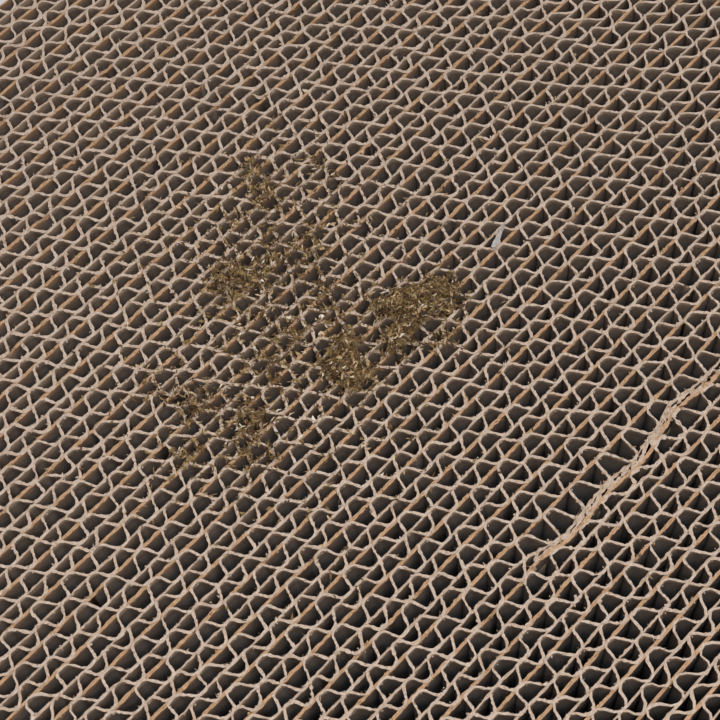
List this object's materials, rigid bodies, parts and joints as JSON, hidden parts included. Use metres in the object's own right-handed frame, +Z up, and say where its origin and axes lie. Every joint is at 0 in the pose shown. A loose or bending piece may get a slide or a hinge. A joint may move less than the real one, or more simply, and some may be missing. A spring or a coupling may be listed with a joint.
{
  "type": "cardboard cat scratcher",
  "caption": "Flat reversible cat scratcher pad of double-wall corrugated strips glued face to face on edge, its open flutes the scratching surface, sprinkled with dried catnip.",
  "frame": {"origin": "middle of the underside, the plane of the strips' lower cut edges", "axes": "+X along the strips, +Y across them from the B flute's side to the C flute's side of each strip, +Z up to the scratching surface"},
  "size_m": [0.43, 0.22, 0.0452],
  "materials": {
    "corrugated_board": "matt raw kraft paper, cut edges frayed",
    "glue": "dried translucent white glue",
    "catnip": "dry crumbled leaf"
  },
  "bodies": {
    "root": {"strip_01": "corrugated_board", "strip_02": "corrugated_board", "strip_03": "corrugated_board", "strip_04": "corrugated_board", "strip_05": "corrugated_board", "strip_06": "corrugated_board", "strip_07": "corrugated_board", "strip_08": "corrugated_board", "strip_09": "corrugated_board", "strip_10": "corrugated_board", "strip_11": "corrugated_board", "strip_12": "corrugated_board", "strip_13": "corrugated_board", "strip_14": "corrugated_board", "strip_15": "corrugated_board", "strip_16": "corrugated_board", "strip_17": "corrugated_board", "strip_18": "corrugated_board", "strip_19": "corrugated_board", "strip_20": "corrugated_board", "strip_21": "corrugated_board", "strip_22": "corrugated_board", "strip_23": "corrugated_board", "strip_24": "corrugated_board", "strip_25": "corrugated_board", "strip_26": "corrugated_board", "strip_27": "corrugated_board", "strip_28": "corrugated_board", "strip_29": "corrugated_board", "strip_30": "corrugated_board", "strip_31": "corrugated_board", "strip_32": "corrugated_board", "strip_33": "corrugated_board", "strip_34": "corrugated_board", "strip_35": "corrugated_board", "strip_36": "corrugated_board", "glue_lines": "glue", "catnip_flakes": "catnip"}
  },
  "joints": []
}
